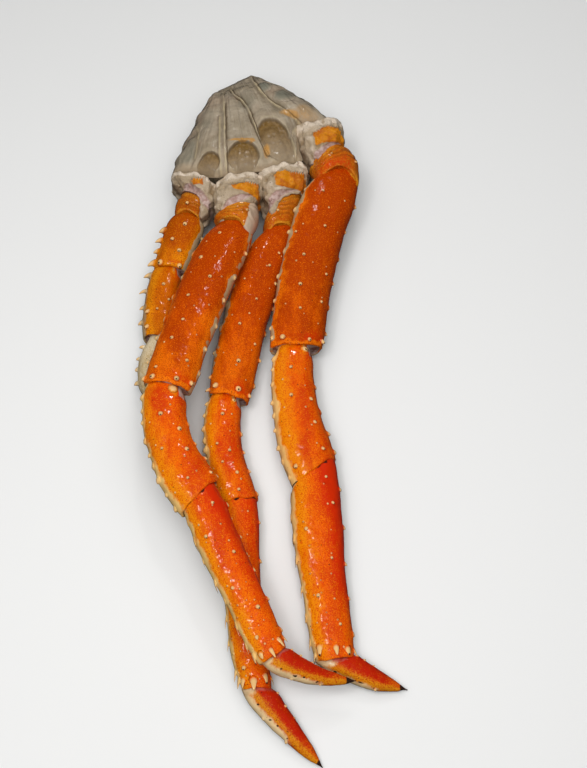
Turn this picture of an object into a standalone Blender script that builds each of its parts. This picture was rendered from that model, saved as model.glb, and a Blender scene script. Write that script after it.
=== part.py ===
"""King crab leg cluster: half of the body (the shoulder) with the claw arm and three walking legs.

The cluster lies as it is served. +X is to the right, +Y points from the claw tips to the shoulder and +Z
up. The origin is on the table, under the middle of the box round the whole cluster. Lengths below are in
millimetres.

Each limb is a chain of hard tubes, called articles: coxa, ischium, merus, carpus, propodus and dactyl. The
claw arm has a palm and a finger in place of the last two. Cooked, the limb no longer moves, so nothing here
is jointed.
"""

import math

import bmesh
import bpy
import numpy as np

MM = 0.001

# Two articles, or an article and the shoulder, end on parallel flat faces with this gap between them.
GAP = 0.4

# A node's mesh is a grid of rings. These are the points round a ring and the rings along an article.
AROUND = 16
RINGS = {
    "coxa": 7,
    "ischium": 5,
    "merus": 13,
    "carpus": 10,
    "propodus": 13,
    "dactyl": 11,
    "palm": 12,
    "finger": 8,
}

# How much closer together the rings stand near an article's ends, from 0 to 1.
END_CROWDING = 0.35

# How thick an article is along its length: (place from 0 to 1, share of its greatest width).
# Each starts as a narrow neck in the socket of the one before and ends in a wide rim, apart from the claws.
PROFILES = {
    "coxa": ((0.0, 0.90), (0.25, 0.99), (0.6, 1.0), (0.9, 0.90), (1.0, 0.80)),
    "ischium": ((0.0, 0.82), (0.3, 0.96), (0.7, 1.0), (1.0, 0.88)),
    "merus": ((0.0, 0.58), (0.05, 0.76), (0.13, 0.93), (0.35, 1.0), (0.7, 0.97), (0.93, 0.95), (1.0, 0.88)),
    "carpus": ((0.0, 0.58), (0.08, 0.76), (0.25, 0.86), (0.55, 0.94), (0.88, 1.0), (1.0, 0.93)),
    "propodus": ((0.0, 0.90), (0.12, 1.0), (0.35, 0.99), (0.65, 0.86), (0.92, 0.80), (1.0, 0.68)),
    "dactyl": ((0.0, 0.72), (0.12, 0.98), (0.3, 1.0), (0.6, 0.74), (0.85, 0.38), (1.0, 0.06)),
    "palm": ((0.0, 0.66), (0.15, 0.92), (0.4, 1.0), (0.53, 0.86), (0.62, 0.52), (0.85, 0.34), (1.0, 0.08)),
    "finger": ((0.0, 0.80), (0.25, 1.0), (0.6, 0.80), (0.88, 0.42), (1.0, 0.12)),
}

# The corners of the sections: 2 is an ellipse, and more is squarer.
SQUARENESS = 2.25

# An article this many times as long as it is wide is a slender one.
SLENDER_FROM = 3.0

# Each limb's joint faces from the shoulder to the claw: (x, y, z, how far the face's line is turned from +X,
# how far the face is rolled so that its arm's side is up, both in degrees). The last one is the claw's tip.
JOINTS = {
    "arm": (
        (-56.0, 159.5, 26.0, -13.0, 0.0),
        (-55.0, 142.0, 26.0, -34.0, 0.0),
        (-60.0, 131.0, 23.0, -10.0, 0.0),
        (-73.0, 88.0, 16.0, -13.0, 0.0),
        (-78.0, 29.0, 14.0, -8.0, 0.0),
        (-79.0, -45.0, 8.5, 0.0, 0.0),
    ),
    "leg_1": (
        (-20.5, 158.0, 27.0, 10.0, 0.0),
        (-22.0, 132.0, 30.0, 18.0, -4.0),
        (-23.5, 116.0, 35.0, -7.0, -8.0),
        (-67.0, -23.5, 43.0, -12.0, 0.0),
        (-42.0, -103.0, 39.0, 47.0, 0.0),
        (8.0, -207.0, 33.0, 32.0, 0.0),
        (62.0, -220.5, 18.0, 78.0, 0.0),
    ),
    "leg_2": (
        (13.5, 167.5, 27.0, 14.0, 0.0),
        (15.0, 141.0, 26.0, 28.0, 7.0),
        (9.5, 120.5, 20.5, 18.0, 14.0),
        (-26.0, -18.5, 14.0, -10.0, 8.0),
        (-17.0, -97.0, 12.5, 11.0, 0.0),
        (-3.0, -224.0, 8.5, 4.0, 0.0),
        (40.0, -272.0, 3.0, 42.0, 0.0),
    ),
    "leg_3": (
        (40.0, 208.0, 28.0, 8.0, 0.0),
        (47.5, 180.0, 31.0, 42.0, 7.0),
        (55.0, 163.0, 35.5, 11.0, 14.0),
        (23.5, 19.0, 20.0, 4.0, 12.0),
        (36.0, -76.0, 13.0, 36.0, 0.0),
        (49.0, -205.0, 9.0, 8.0, 0.0),
        (96.5, -224.0, 3.5, 66.0, 0.0),
    ),
}

# Each article's greatest width and depth, and how far its middle bends to the right on the way to the claw.
SIZES = {
    "arm": {
        "coxa": (34, 38, 0),
        "ischium": (25, 26, 0),
        "merus": (28, 25, 0),
        "carpus": (28, 26, 2),
        "palm": (27, 24, 1.5),
    },
    "leg_1": {
        "coxa": (34, 40, 0),
        "ischium": (32, 30, 0),
        "merus": (37.5, 26, 3),
        "carpus": (34, 25, 8.5),
        "propodus": (29, 23, 1),
        "dactyl": (16, 13, 4),
    },
    "leg_2": {
        "coxa": (35, 40, 0),
        "ischium": (26, 27, 0),
        "merus": (33.5, 26, 4.5),
        "carpus": (29, 25, 6.5),
        "propodus": (28, 23, 3.5),
        "dactyl": (18, 14, 1),
    },
    "leg_3": {
        "coxa": (35, 40, 0),
        "ischium": (35, 32, -2),
        "merus": (42, 27, 5),
        "carpus": (36, 27, 6),
        "propodus": (35, 25, 2),
        "dactyl": (17, 14, 2),
    },
}

# The claw arm's moving finger, which closes against the tapered end of the palm.
FINGER_ROOT = (-65.0, -14.0, 13.0, -35.0, 0.0)
FINGER_TIP = (-68.0, -50.0, 9.5, 0.0, 0.0)
FINGER_SIZE = (11, 13, -3)

# Rows of spines on an article: (share of the way round from the left edge over the top to the right one,
# first and last place along it, how many, height).
SPINE_ROWS = {
    "ischium": ((0.5, 0.6, 0.6, 1, 2.0),),
    "merus": ((0.06, 0.15, 0.9, 5, 4.0), (0.9, 0.2, 0.92, 4, 3.5), (0.5, 0.3, 0.8, 3, 3.0)),
    "carpus": ((0.06, 0.25, 0.9, 4, 5.0), (0.9, 0.3, 0.9, 3, 4.0), (0.45, 0.3, 0.8, 3, 3.5)),
    "propodus": ((0.06, 0.15, 0.93, 5, 4.5), (0.9, 0.2, 0.93, 4, 3.5), (0.45, 0.25, 0.85, 3, 3.0)),
    "palm": ((0.06, 0.15, 0.45, 3, 3.5), (0.45, 0.25, 0.45, 2, 3.0)),
}
# A spine's base is this wide, and at least this share of its face is left on each side of it.
SPINE_BASE, SPINE_MARGIN = 4.0, 0.15

# The shoulder, from the wall that the limbs leave to the edge where the body was split. Each curve goes
# across it from the arm's side to the last leg's, as (share of the way, x, y).
WALL = (
    (0.0, -76.0, 168.0),
    (0.27, -37.5, 160.0),
    (0.52, -3.5, 164.5),
    (0.73, 26.5, 172.5),
    (0.78, 24.0, 209.0),
    (1.0, 56.0, 213.5),
)
BELLY = (
    (0.0, -58.0, 217.0),
    (0.27, -36.0, 208.0),
    (0.52, -15.0, 212.0),
    (0.73, 2.0, 230.0),
    (0.78, 5.0, 235.0),
    (1.0, 30.5, 242.0),
)
SPLIT_EDGE = (
    (0.0, -42.0, 256.0),
    (0.27, -37.0, 259.0),
    (0.52, -29.0, 264.0),
    (0.73, -16.0, 271.5),
    (0.78, -13.0, 272.0),
    (1.0, -3.0, 267.0),
)
# The top and the bottom of the shoulder: (place from the wall to the split, height). What would be under the
# table is pressed flat, as it is on every piece.
SHOULDER_TOP = ((0.0, 46.0), (0.12, 51.0), (0.5, 48.0), (1.0, 36.0))
SHOULDER_BOTTOM = ((0.0, -1.5), (0.5, -1.5), (1.0, 8.0))
SHOULDER_ACROSS, SHOULDER_RINGS = 27, 11

# How square the shoulder's two sides are. Its top and bottom start to close at the first of these places and
# would meet at the second, just past the split.
SIDE_SQUARENESS = 2.8
CLOSING_FROM, CLOSED_AT = 0.7, 1.04

# The thin walls between the muscle chambers stand up as ridges, at these shares of the way across.
RIDGES = (0.32, 0.52, 0.76)
RIDGE_HEIGHT, RIDGE_WIDTH = 2.0, 0.018

# Each chamber opens in an oval window: (share across, place back, half the size across, half the size back).
WINDOWS = (
    (0.17, 0.16, 0.055, 0.11),
    (0.41, 0.17, 0.085, 0.15),
    (0.64, 0.30, 0.075, 0.26),
    (0.87, 0.28, 0.07, 0.14),
)
WINDOW_DEPTH = 3.0

# Colours are linear.
SHELL_ORANGE = (0.62, 0.13, 0.010)
BRIGHT_ORANGE = (0.80, 0.17, 0.010)
CLAW_RED = (0.45, 0.035, 0.012)
OCHRE = (0.68, 0.24, 0.030)
WHITE_SHELL = (0.60, 0.47, 0.36)
GREY_FLESH = (0.40, 0.35, 0.26)
COLOURS = {
    "coxa": WHITE_SHELL,
    "ischium": OCHRE,
    "merus": SHELL_ORANGE,
    "carpus": BRIGHT_ORANGE,
    "propodus": BRIGHT_ORANGE,
    "dactyl": CLAW_RED,
    "palm": WHITE_SHELL,
    "finger": WHITE_SHELL,
}
SHELL_ROUGHNESS, FLESH_ROUGHNESS = 0.38, 0.30

# Edges sharper than this, in degrees, are shaded as edges.
SHARP_FROM = 50.0


def through(stops, places):
    """A smooth curve through the stops, each a place and its values, read at the places."""
    stops = np.array(stops, float)
    at, values = stops[:, 0], stops[:, 1:]
    slopes = np.gradient(values, at, axis=0)
    span = np.clip(np.searchsorted(at, places, side="right") - 1, 0, len(at) - 2)
    width = (at[span + 1] - at[span])[:, None]
    t = (np.asarray(places)[:, None] - at[span][:, None]) / width
    near, far = values[span], values[span + 1]
    return (
        near * (1 + 2 * t) * (1 - t) ** 2
        + far * t**2 * (3 - 2 * t)
        + slopes[span] * width * t * (1 - t) ** 2
        - slopes[span + 1] * width * t**2 * (1 - t)
    )


def section_circle(count):
    """The unit section: a circle squared off a little, from the left edge over the top and round below."""
    angle = math.pi - np.arange(count) * 2 * math.pi / count
    power = 2 / SQUARENESS
    across = np.sign(np.cos(angle)) * np.abs(np.cos(angle)) ** power
    rise = np.sign(np.sin(angle)) * np.abs(np.sin(angle)) ** power
    return across, rise


def article_rings(kind, start, end, width, depth, bend):
    """The rings of an article from one joint face to the next, as an array of ring, point and coordinate.

    The middle line is a straight one bent aside by a parabola. The rings stand upright and turn from one
    joint face's line to the other's: evenly on a stout article, and by way of square to its middle line on a
    slender one. Their roll goes evenly from one joint face's to the other's.
    """
    x0, y0, z0, turn0, roll0 = start
    x1, y1, z1, turn1, roll1 = end
    heading = math.atan2(x1 - x0, y0 - y1)
    even = np.linspace(0, 1, RINGS[kind])
    place = even - END_CROWDING * np.sin(2 * math.pi * even) / (2 * math.pi)
    slender = min(1.0, math.dist(start[:2], end[:2]) / (SLENDER_FROM * width))
    off0, off1 = math.radians(turn0) - heading, math.radians(turn1) - heading
    even_off = off0 + (off1 - off0) * place
    off = even_off + slender * (off0 * (1 - place) ** 3 + off1 * place**3 - even_off)
    turn = heading + off
    bow = 4 * place * (1 - place) * bend
    middle_x = x0 + (x1 - x0) * place - bow * math.cos(heading)
    middle_y = y0 + (y1 - y0) * place - bow * math.sin(heading)
    middle_z = z0 + (z1 - z0) * place
    share = through(PROFILES[kind], place)[:, 0]
    half = share * width / 2 / np.cos(slender * off)
    tall = share * depth / 2
    roll = np.radians(roll0 + (roll1 - roll0) * place)[:, None]
    across, rise = section_circle(AROUND)
    aside, upward = half[:, None] * across, tall[:, None] * rise
    along_face = aside * np.cos(roll) + upward * np.sin(roll)
    x = middle_x[:, None] + np.cos(turn)[:, None] * along_face
    y = middle_y[:, None] + np.sin(turn)[:, None] * along_face
    z = middle_z[:, None] + upward * np.cos(roll) - aside * np.sin(roll)
    # Half the gap to the next piece is taken off each joint face.
    for ring, way in ((0, 1), (-1, -1)):
        x[ring] += way * GAP / 2 * math.sin(turn[ring])
        y[ring] -= way * GAP / 2 * math.cos(turn[ring])
    return np.stack([x, y, np.maximum(z, 0.0)], axis=-1)


def side_quads(bm, rings):
    """Adds the rings' points and a quad between each two rings and each two points of them, ring by ring."""
    verts = [[bm.verts.new(point * MM) for point in ring] for ring in rings]
    for near, far in zip(verts, verts[1:]):
        for j in range(len(near)):
            bm.faces.new((near[j - 1], near[j], far[j], far[j - 1]))
    return verts


def raise_spines(bm, rows, count, around):
    """Cones with square bases: a face is inset to the base and its middle pulled out along its normal.

    The mesh's first faces are the sides: count rings, with around of them in each.
    """
    bm.faces.ensure_lookup_table()
    roots = []
    for share, first, last, number, height in rows:
        column = int(round(share * around / 2)) + 1
        for place in np.linspace(first, last, number):
            ring = min(int(place * (count - 1)), count - 2)
            roots.append((bm.faces[ring * around + column], height))
    for face, height in roots:
        side = math.sqrt(face.calc_area())
        margin = max(SPINE_MARGIN * side, (side - SPINE_BASE * MM) / 2)
        bmesh.ops.inset_individual(bm, faces=[face], thickness=margin)
        bmesh.ops.poke(bm, faces=[face], offset=height * MM)


def material(name, colour, roughness):
    made = bpy.data.materials.new(name)
    made.use_nodes = True
    shader = made.node_tree.nodes["Principled BSDF"]
    shader.inputs["Base Color"].default_value = (*colour, 1.0)
    shader.inputs["Roughness"].default_value = roughness
    shader.inputs["Metallic"].default_value = 0.0
    return made


def add_node(name, bm, colour, roughness):
    mesh = bpy.data.meshes.new(name)
    bm.to_mesh(mesh)
    bm.free()
    mesh.shade_smooth()
    mesh.set_sharp_from_angle(angle=math.radians(SHARP_FROM))
    mesh.materials.append(material(name + "_finish", colour, roughness))
    node = bpy.data.objects.new(name, mesh)
    bpy.context.scene.collection.objects.link(node)
    return node


def make_article(name, kind, rings):
    bm = bmesh.new()
    verts = side_quads(bm, rings)
    bm.faces.new(verts[0])
    bm.faces.new(verts[-1])
    bmesh.ops.recalc_face_normals(bm, faces=bm.faces)
    raise_spines(bm, SPINE_ROWS.get(kind, ()), RINGS[kind], AROUND)
    add_node(name, bm, COLOURS[kind], SHELL_ROUGHNESS)


def make_limb(limb):
    joints = JOINTS[limb]
    for number, (kind, (width, depth, bend)) in enumerate(SIZES[limb].items()):
        rings = article_rings(kind, joints[number], joints[number + 1], width, depth, bend)
        make_article(f"{limb}_{kind}", kind, rings)


def make_finger():
    make_article("arm_finger", "finger", article_rings("finger", FINGER_ROOT, FINGER_TIP, *FINGER_SIZE))


def shoulder_height(across, back):
    """How far the top stands over a smooth shoulder: up at the ridges and down in the windows."""
    height = np.zeros(np.broadcast(across, back).shape)
    for ridge in RIDGES:
        height += RIDGE_HEIGHT * np.exp(-(((across - ridge) / RIDGE_WIDTH) ** 2))
    for middle, place, half_across, half_back in WINDOWS:
        away = ((across - middle) / half_across) ** 2 + ((back - place) / half_back) ** 2
        height -= WINDOW_DEPTH * np.exp(-(away**2))
    return height


def across_curve(rows, spread):
    """A curve across the shoulder, straight between its corners, read at shares of the way across."""
    shares = [row[0] for row in rows]
    return np.array([np.interp(spread, shares, [row[axis] for row in rows]) for axis in (1, 2)])


def make_shoulder():
    """Rings over the top from the arm's side to the last leg's and back below, from the wall to the split.

    Going back from the wall, each point runs along a parabola through the three curves.
    """
    corners = [share for share, _, _ in WALL[1:-1]]
    spread = np.sort(np.append(np.linspace(0, 1, SHOULDER_ACROSS), corners))
    back = np.linspace(0, 1, SHOULDER_RINGS)[:, None]
    wall, belly, split = (across_curve(rows, spread)[:, None] for rows in (WALL, BELLY, SPLIT_EDGE))
    at_wall, at_belly, at_split = (1 - back) * (1 - 2 * back), 4 * back * (1 - back), back * (2 * back - 1)
    x, y = wall * at_wall + belly * at_belly + split * at_split
    roundness = (1 - np.abs(2 * spread - 1) ** SIDE_SQUARENESS) ** (1 / SIDE_SQUARENESS)
    closing = np.sqrt(1 - (np.clip(back - CLOSING_FROM, 0, 1) / (CLOSED_AT - CLOSING_FROM)) ** 2)
    top, bottom = (through(stops, back[:, 0]) for stops in (SHOULDER_TOP, SHOULDER_BOTTOM))
    middle, half = (top + bottom) / 2, (top - bottom) / 2 * roundness * closing
    relief = shoulder_height(spread, back) * roundness * closing * (back > 0)
    upper = np.stack([x, y, middle + half + relief], axis=-1)
    lower = np.stack([x, y, np.maximum(middle - half, 0.0)], axis=-1)[:, -2:0:-1]
    rings = np.concatenate([upper, lower], axis=1)
    bm = bmesh.new()
    verts = side_quads(bm, rings)
    # The two ends are strips of upright faces between the top and the bottom.
    for ring in (verts[0], verts[-1]):
        for j in range(len(spread) - 1):
            corner = (ring[j], ring[j + 1], ring[-j - 1], ring[-j])
            bm.faces.new(list(dict.fromkeys(corner)))
    bmesh.ops.recalc_face_normals(bm, faces=bm.faces)
    add_node("shoulder", bm, GREY_FLESH, FLESH_ROUGHNESS)


for old in list(bpy.data.objects):
    bpy.data.objects.remove(old)

make_shoulder()
for limb_name in JOINTS:
    make_limb(limb_name)
make_finger()
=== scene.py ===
"""The looks of a cooked king crab leg cluster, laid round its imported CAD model.

Lengths are in millimetres, angles in degrees and colours linear. The axes are the frame's: +X to the
right, +Y from the claw tips to the shoulder and +Z up from the table.
"""

import itertools
from types import SimpleNamespace

import bpy
import numpy as np
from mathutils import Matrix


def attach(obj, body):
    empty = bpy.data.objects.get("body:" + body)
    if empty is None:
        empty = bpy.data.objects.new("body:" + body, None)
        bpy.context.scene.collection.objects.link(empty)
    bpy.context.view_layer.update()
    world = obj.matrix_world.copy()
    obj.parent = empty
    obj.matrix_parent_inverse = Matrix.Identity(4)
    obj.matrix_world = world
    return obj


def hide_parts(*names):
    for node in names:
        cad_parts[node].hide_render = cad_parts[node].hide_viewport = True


MM = 0.001

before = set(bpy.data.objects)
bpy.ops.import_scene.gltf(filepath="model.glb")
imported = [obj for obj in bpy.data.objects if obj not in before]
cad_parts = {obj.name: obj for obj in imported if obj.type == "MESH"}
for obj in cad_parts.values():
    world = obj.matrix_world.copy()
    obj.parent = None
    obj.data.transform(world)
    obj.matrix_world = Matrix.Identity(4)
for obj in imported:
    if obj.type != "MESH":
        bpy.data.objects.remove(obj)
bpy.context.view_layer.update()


# ----------------------------------------------------------
# The table, the light and the view.
# The cluster lies on a plain pale table under two broad soft lamps. Two small ones, which alone show in
# gloss, give the wet shells their glints. It is seen from the claws' end, steeply from above.

# Lengths in metres.
TABLE_SIZE = 3.0
TABLE_COLOUR = (0.86, 0.86, 0.85, 1)
ROOM_LIGHT = 0.04
# Each lamp's place, size, power in watts, and whether it shows in gloss.
LAMPS = {
    "ceiling_lamp": ((0, 0, 1.40), 2.6, 17.0, False),
    "broad_lamp": ((-0.05, -0.30, 0.95), 0.7, 5.5, False),
    "back_glint_lamp": ((0.10, 0.80, 1.05), 0.07, 1.0, True),
    "front_glint_lamp": ((-0.30, -0.15, 1.00), 0.10, 0.6, True),
}
VIEW_ELEVATION, VIEW_DISTANCE, VIEW_ASIDE = 65.0, 0.80, 0.0215
LENS, SENSOR = 50.0, 36.0

scene = bpy.context.scene
scene.view_settings.view_transform = "Standard"


def feed(tree, socket, value):
    """A socket takes a link from a node's output, or from a wire's, or a plain value."""
    value = getattr(value, "output", value)
    if isinstance(value, bpy.types.NodeSocket):
        tree.links.new(value, socket)
    else:
        socket.default_value = value


def add(tree, kind, settings=(), **inputs):
    """A shader node with its own settings, and values or links for its inputs by name."""
    made = tree.nodes.new("ShaderNode" + kind)
    for name, value in dict(settings).items():
        setattr(made, name, value)
    for name, value in inputs.items():
        feed(tree, made.inputs[name.replace("_", " ")], value)
    return made


def finish_material(name, **inputs):
    """A material with an empty tree but for a Principled shader with these inputs."""
    made = bpy.data.materials.new(name)
    made.use_nodes = True
    shader = made.node_tree.nodes["Principled BSDF"]
    for socket, value in inputs.items():
        feed(made.node_tree, shader.inputs[socket.replace("_", " ")], value)
    return made, made.node_tree, shader


def put(name, data):
    """An object of this data, in the scene."""
    made = bpy.data.objects.new(name, data)
    scene.collection.objects.link(made)
    return made


def lay_table():
    """A plain square, which neither shows in gloss nor lights the shells."""
    corners = np.array([(-1, -1, 0), (1, -1, 0), (1, 1, 0), (-1, 1, 0)]) * TABLE_SIZE / 2
    mesh = bpy.data.meshes.new("table")
    mesh.from_pydata(corners.tolist(), [], [(0, 1, 2, 3)])
    mesh.materials.append(finish_material("table_top", Base_Color=TABLE_COLOUR, Roughness=0.9)[0])
    table = put("table", mesh)
    table.visible_glossy = table.visible_diffuse = False


def hang_lamp(name, place, size, power, mirrored):
    """A square lamp that faces the middle of the table."""
    data = bpy.data.lights.new(name, "AREA")
    data.size, data.energy = size, power
    lamp = put(name, data)
    lamp.location = place
    lamp.rotation_euler = lamp.location.to_track_quat("Z", "Y").to_euler()
    lamp.visible_glossy = mirrored


def set_camera():
    """The view, turned up from level by its elevation and aimed past the middle by VIEW_ASIDE."""
    data = bpy.data.cameras.new("view")
    data.lens, data.sensor_width = LENS, SENSOR
    scene.camera = put("view", data)
    up = np.radians(VIEW_ELEVATION)
    scene.camera.location = (VIEW_ASIDE, -VIEW_DISTANCE * np.cos(up), VIEW_DISTANCE * np.sin(up))
    scene.camera.rotation_euler = (np.pi / 2 - up, 0.0, 0.0)


def paint_room():
    """A dim room that the camera sees as a pale one."""
    scene.world = bpy.data.worlds.new("room")
    scene.world.use_nodes = True
    tree = scene.world.node_tree
    dim = tree.nodes["Background"]
    feed(tree, dim.inputs["Color"], (1, 1, 1, 1))
    feed(tree, dim.inputs["Strength"], ROOM_LIGHT)
    pale = add(tree, "Background", Color=TABLE_COLOUR, Strength=1.0)
    either = add(tree, "MixShader", Fac=add(tree, "LightPath").outputs["Is Camera Ray"])
    feed(tree, either.inputs[1], dim.outputs[0])
    feed(tree, either.inputs[2], pale.outputs[0])
    feed(tree, tree.nodes["World Output"].inputs["Surface"], either.outputs[0])


paint_room()
lay_table()
for name, lamp in LAMPS.items():
    hang_lamp(name, *lamp)
set_camera()


# ----------------------------------------------------------
# The shoulder.
# Half of the body, split down the middle: thin pale walls of shell between chambers of grey meat, each
# chamber open in an oval window towards its leg. The limbs leave its front wall.

# The front wall, the widest line and the split edge, as points (x, y) at these shares of the way across.
ACROSS_SHARES = (0.0, 0.27, 0.52, 0.73, 0.78, 1.0)
WALL = ((-76, 168), (-37.5, 157.5), (-3.5, 161.5), (26.5, 172.5), (24, 209), (56, 213.5))
BELLY = ((-58, 217), (-36, 208), (-15, 212), (2, 230), (5, 235), (30.5, 242))
SPLIT_EDGE = ((-42, 256), (-37, 259), (-29, 264), (-16, 271.5), (-13, 272), (-3, 267))
# The top's front edge as all its x and all its y, and how far from it the top is rounded off.
FRONT_EDGE = ((-76, -37, -3.5, 24, 24.5, 56), (168, 157.5, 161, 172, 209, 213))
FRONT_ROUNDING = 4.0
# Heights of the top and the underside from the wall to the split, where both close like the end of an oval.
SHOULDER_TOP = ((0, 46), (0.12, 51), (0.5, 48), (1, 36))
SHOULDER_BOTTOM = ((0, -1.5), (0.5, -1.5), (1, 8))
CLOSING_FROM, CLOSED_AT = 0.7, 1.0
SIDE_SQUARENESS = 2.8
SHOULDER_ACROSS, SHOULDER_BACK, SHOULDER_UNDER = 330, 260, 50

# The thin walls between the chambers: points (x, y) from the split to the limbs, how high each stands, and
# on which sides of it a crack runs (-1 left, 1 right), a groove painted dark as its shade.
CHAMBER_WALLS = (
    (((-36, 243), (-34.9, 235), (-33.6, 216), (-32.8, 198), (-31.8, 180), (-30.6, 163), (-29.8, 156)),
     1.9, (-1,)),
    (((-30, 248), (-27.2, 240), (-21.2, 232), (-15.2, 221), (-10.6, 207), (-7.1, 194), (-3.1, 184),
      (1.7, 173)), 1.7, (-1, 1)),
    (((-14, 266), (-12.3, 256), (-5.8, 241), (1.1, 230), (7.9, 222), (15.7, 215), (21.5, 211), (26.8, 209)),
     1.9, (-1,)),
)
# Low folds of the thin shell over the meat.
FOLDS = (
    ((-37.1, 212), (-36.8, 205), (-36.3, 189), (-35.6, 172), (-34.4, 157)),
    ((-55.5, 208), (-54.3, 200), (-53.8, 189), (-55.1, 173)),
    ((25.3, 205), (22.9, 196), (20.6, 186), (23.8, 173)),
)
# The oval windows: (x, y, half across, half along, depth, how far each slants to the right towards the
# legs).
WINDOWS = (
    (-44.5, 165.5, 9, 10, 2.6, 0),
    (-17.3, 170.5, 12.5, 13.5, 3, 0),
    (7.6, 187.5, 13.5, 20, 3, 0.35),
)
# Glassy lobes where the shell is so thin that the juice shows through: (x, y, half across, half along,
# strength).
LOBES = (
    (-63.5, 182, 9.5, 17, 0.9),
    (-2, 246, 6, 6.5, 0.9),
    (13.7, 234, 8.5, 8, 1.0),
    (-46, 212, 6, 14, 0.35),
    (-16, 228, 8, 14, 0.30),
)
# Ochre stains, in the same way.
STAINS = (
    (-19, 185, 12, 1.8, 1.1),
    (-10.5, 184, 3, 3, 1.0),
    (0.5, 176.5, 3.2, 7, 1.2),
    (19, 213.5, 10, 4.5, 1.1),
    (32, 218, 12, 9, 0.75),
)

FLESH, PALE_FLESH = (0.31, 0.25, 0.168, 1), (0.45, 0.372, 0.272, 1)
# Pale strands that also carry a painted highlight, a random blush, and painted shade for the valleys beside
# the walls.
STRAND_AND_HIGHLIGHT, BLUSH, VALLEY_SHADE = (0.62, 0.53, 0.41, 1), (0.30, 0.195, 0.125, 1), (0.13, 0.095, 0.050, 1)
GLASS, OLIVE_GLASS = (0.215, 0.23, 0.20, 1), (0.14, 0.135, 0.078, 1)
MEAT, PALE_MEAT = (0.155, 0.080, 0.016, 1), (0.255, 0.150, 0.045, 1)
CHALK, PALE_CHALK = (0.40, 0.30, 0.19, 1), (0.52, 0.41, 0.29, 1)
# The dark of the cracks is painted shade.
WALL_CREAM, OCHRE, CRACK_SHADE = (0.62, 0.50, 0.30, 1), (0.58, 0.29, 0.065, 1), (0.085, 0.050, 0.022, 1)


def through(stops, places):
    """A smooth curve through the stops, each a place and its values, read at the places: cubic pieces
    whose slopes at the stops are those of the stops beside them."""
    stops = np.array(stops, float)
    at, values = stops[:, 0], stops[:, 1:]
    slopes = np.gradient(values, at, axis=0)
    span = np.clip(np.searchsorted(at, places, side="right") - 1, 0, len(at) - 2)
    width = (at[span + 1] - at[span])[:, None]
    t = (np.asarray(places)[:, None] - at[span][:, None]) / width
    near, far = values[span], values[span + 1]
    return (
        near * (1 + 2 * t) * (1 - t) ** 2
        + far * t**2 * (3 - 2 * t)
        + slopes[span] * width * t * (1 - t) ** 2
        - slopes[span + 1] * width * t**2 * (1 - t)
    )


def rise(value, start, end):
    """0 up to start, 1 from end on, with the smooth slope 3t^2 - 2t^3 between."""
    t = np.clip((value - start) / (end - start), 0.0, 1.0)
    return t * t * (3 - 2 * t)


def bell(value, width):
    """A bell curve: e to the power of minus the square of the value over the width."""
    return np.exp(-((value / width) ** 2))


LATTICE = 64


def lumps(points, size, seed):
    """Smooth numbers from -1 to 1 at the points: random ones on a cubic lattice with cells of that size,
    mixed between a cell's eight corners by smooth weights."""
    lattice = np.random.default_rng(seed).uniform(-1, 1, (LATTICE, LATTICE, LATTICE))
    at = points / size
    cell = np.floor(at).astype(int)
    part = rise(at - cell, 0.0, 1.0)
    total = np.zeros(points.shape[:-1])
    for corner in itertools.product((0, 1), repeat=3):
        weight = np.prod(np.where(np.array(corner), part, 1 - part), axis=-1)
        total += weight * lattice[tuple(((cell + corner) % LATTICE).transpose(-1, *range(cell.ndim - 1)))]
    return total


def facing(points):
    """The unit normals of a grid of points: across the rows by along them, which closes on itself."""
    along = np.gradient(points, axis=0)
    round_it = np.roll(points, -1, axis=1) - np.roll(points, 1, axis=1)
    normal = np.cross(along, round_it)
    length = np.linalg.norm(normal, axis=-1, keepdims=True)
    return normal / np.maximum(length, 1e-9)


def grid_faces(rows, columns, first):
    """Quads of a grid whose rows close on themselves, as numbers of points from first on, with an end
    face over the first and the last row."""
    number = first + np.arange(rows * columns).reshape(rows, columns)
    near, far = number[:-1], number[1:]
    quads = np.stack([near, far, np.roll(far, -1, axis=1), np.roll(near, -1, axis=1)], axis=-1)
    return [*quads.reshape(-1, 4).tolist(), number[0].tolist(), number[-1, ::-1].tolist()]


def make_piece(name, grids, finish, node):
    """One mesh of several grids, each with its points and its masks by name. It stands for the CAD node."""
    points, faces, first = [], [], 0
    for grid, _ in grids:
        for one in grid.reshape(-1, *grid.shape[-3:]):
            faces += grid_faces(*one.shape[:2], first)
            first += one.shape[0] * one.shape[1]
        points.append(grid.reshape(-1, 3))
    mesh = bpy.data.meshes.new(name)
    mesh.from_pydata((np.concatenate(points) * MM).tolist(), [], faces)
    for key in sorted({key for _, masks in grids for key in masks}):
        values = [np.broadcast_to(masks.get(key, 0.0), grid.shape[:-1]).ravel() for grid, masks in grids]
        layer = mesh.attributes.new(key, "FLOAT", "POINT")
        layer.data.foreach_set("value", np.concatenate(values).astype(np.float32))
    mesh.shade_smooth()
    mesh.materials.append(finish)
    piece = put(name, mesh)
    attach(piece, "root")
    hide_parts(node)


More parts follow.
